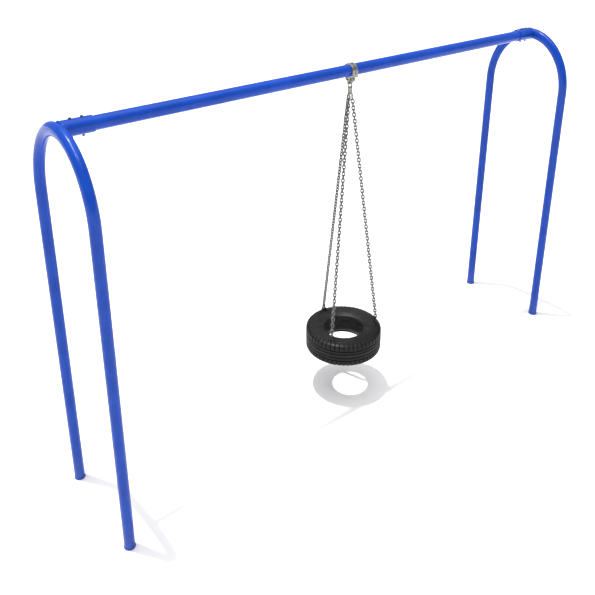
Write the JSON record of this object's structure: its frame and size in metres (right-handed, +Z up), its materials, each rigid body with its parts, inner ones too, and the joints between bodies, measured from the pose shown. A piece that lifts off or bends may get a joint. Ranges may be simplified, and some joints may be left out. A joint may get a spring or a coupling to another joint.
{
  "type": "tire swing",
  "caption": "Free-standing tire swing: two oval pipe arches and a top rail, with a swivel hanger carrying a flat-hung tyre on chains.",
  "frame": {"origin": "on the ground, straight below the middle of the top rail", "axes": "+X along the top rail, +Y from the front to the rear leg of each arch, +Z up"},
  "size_m": [4.4784, 0.8494, 2.7902],
  "materials": {
    "frame_paint": "glossy royal-blue powder coat",
    "cap_plastic": "moulded blue plastic",
    "bolt_steel": "dulled zinc plate",
    "hanger_steel": "hot-dip galvanised",
    "chain_steel": "zinc plated",
    "bearing_steel": "ground and polished",
    "bush_bronze": "sintered bronze",
    "black_bolt": "black-coated steel bolts",
    "bracket_coat": "black plastic-dipped steel",
    "plate_steel": "galvanised",
    "tyre_rubber": "used black rubber, matt with a slight sheen"
  },
  "bodies": {
    "frame": {"arch_post_left": "frame_paint", "arch_post_right": "frame_paint", "clamp_saddle": "hanger_steel", "clamp_screws": "hanger_steel", "clamp_strap": "hanger_steel", "foot_cap_left_front": "cap_plastic", "foot_cap_left_rear": "cap_plastic", "foot_cap_right_front": "cap_plastic", "foot_cap_right_rear": "cap_plastic", "rail_bolt_nuts": "bolt_steel", "rail_bolt_washers": "bolt_steel", "rail_bolts": "bolt_steel", "rail_sleeve_left": "frame_paint", "rail_sleeve_right": "frame_paint", "tongue_bushing": "bush_bronze", "top_rail": "frame_paint"},
    "hanger_yoke": {"hanger_yoke": "hanger_steel", "hub_bushing": "bush_bronze", "trunnion_bolt": "hanger_steel", "trunnion_nut": "hanger_steel", "trunnion_washers": "hanger_steel", "trunnion_spacers": "hanger_steel"},
    "swing_stirrup": {"swing_stirrup": "hanger_steel", "stirrup_bolt": "hanger_steel", "stirrup_nut": "hanger_steel", "stirrup_washers": "hanger_steel", "barrel_cap": "hanger_steel", "bearing_lower_race": "bearing_steel", "bearing_balls": "bearing_steel", "bearing_cage": "bearing_steel"},
    "swivel": {"backing_plate_a": "plate_steel", "backing_plate_b": "plate_steel", "backing_plate_c": "plate_steel", "bead_core_lower": "plate_steel", "bead_core_upper": "plate_steel", "bearing_upper_race": "bearing_steel", "bracket_bolts": "black_bolt", "bracket_nuts": "black_bolt", "chain_a": "chain_steel", "chain_b": "chain_steel", "chain_c": "chain_steel", "connecting_link_a": "chain_steel", "connecting_link_b": "chain_steel", "connecting_link_c": "chain_steel", "connecting_link_nuts": "chain_steel", "swivel_head": "hanger_steel", "swivel_nut": "hanger_steel", "tyre": "tyre_rubber", "tyre_bracket_a": "bracket_coat", "tyre_bracket_b": "bracket_coat", "tyre_bracket_c": "bracket_coat"}
  },
  "joints": [
    {"name": "side_swing", "type": "hinge", "parent": "frame", "child": "hanger_yoke", "pos_m": [0, 0, 2.67], "axis": [0, 1, 0], "range_deg": [-40, 40]},
    {"name": "fore_aft_swing", "type": "hinge", "parent": "hanger_yoke", "child": "swing_stirrup", "pos_m": [0, 0, 2.637], "axis": [1, 0, 0], "range_deg": [-50, 50]},
    {"name": "swivel_turn", "type": "hinge", "parent": "swing_stirrup", "child": "swivel", "pos_m": [0, 0, 2.58], "axis": [0, 0, 1], "continuous": true}
  ]
}
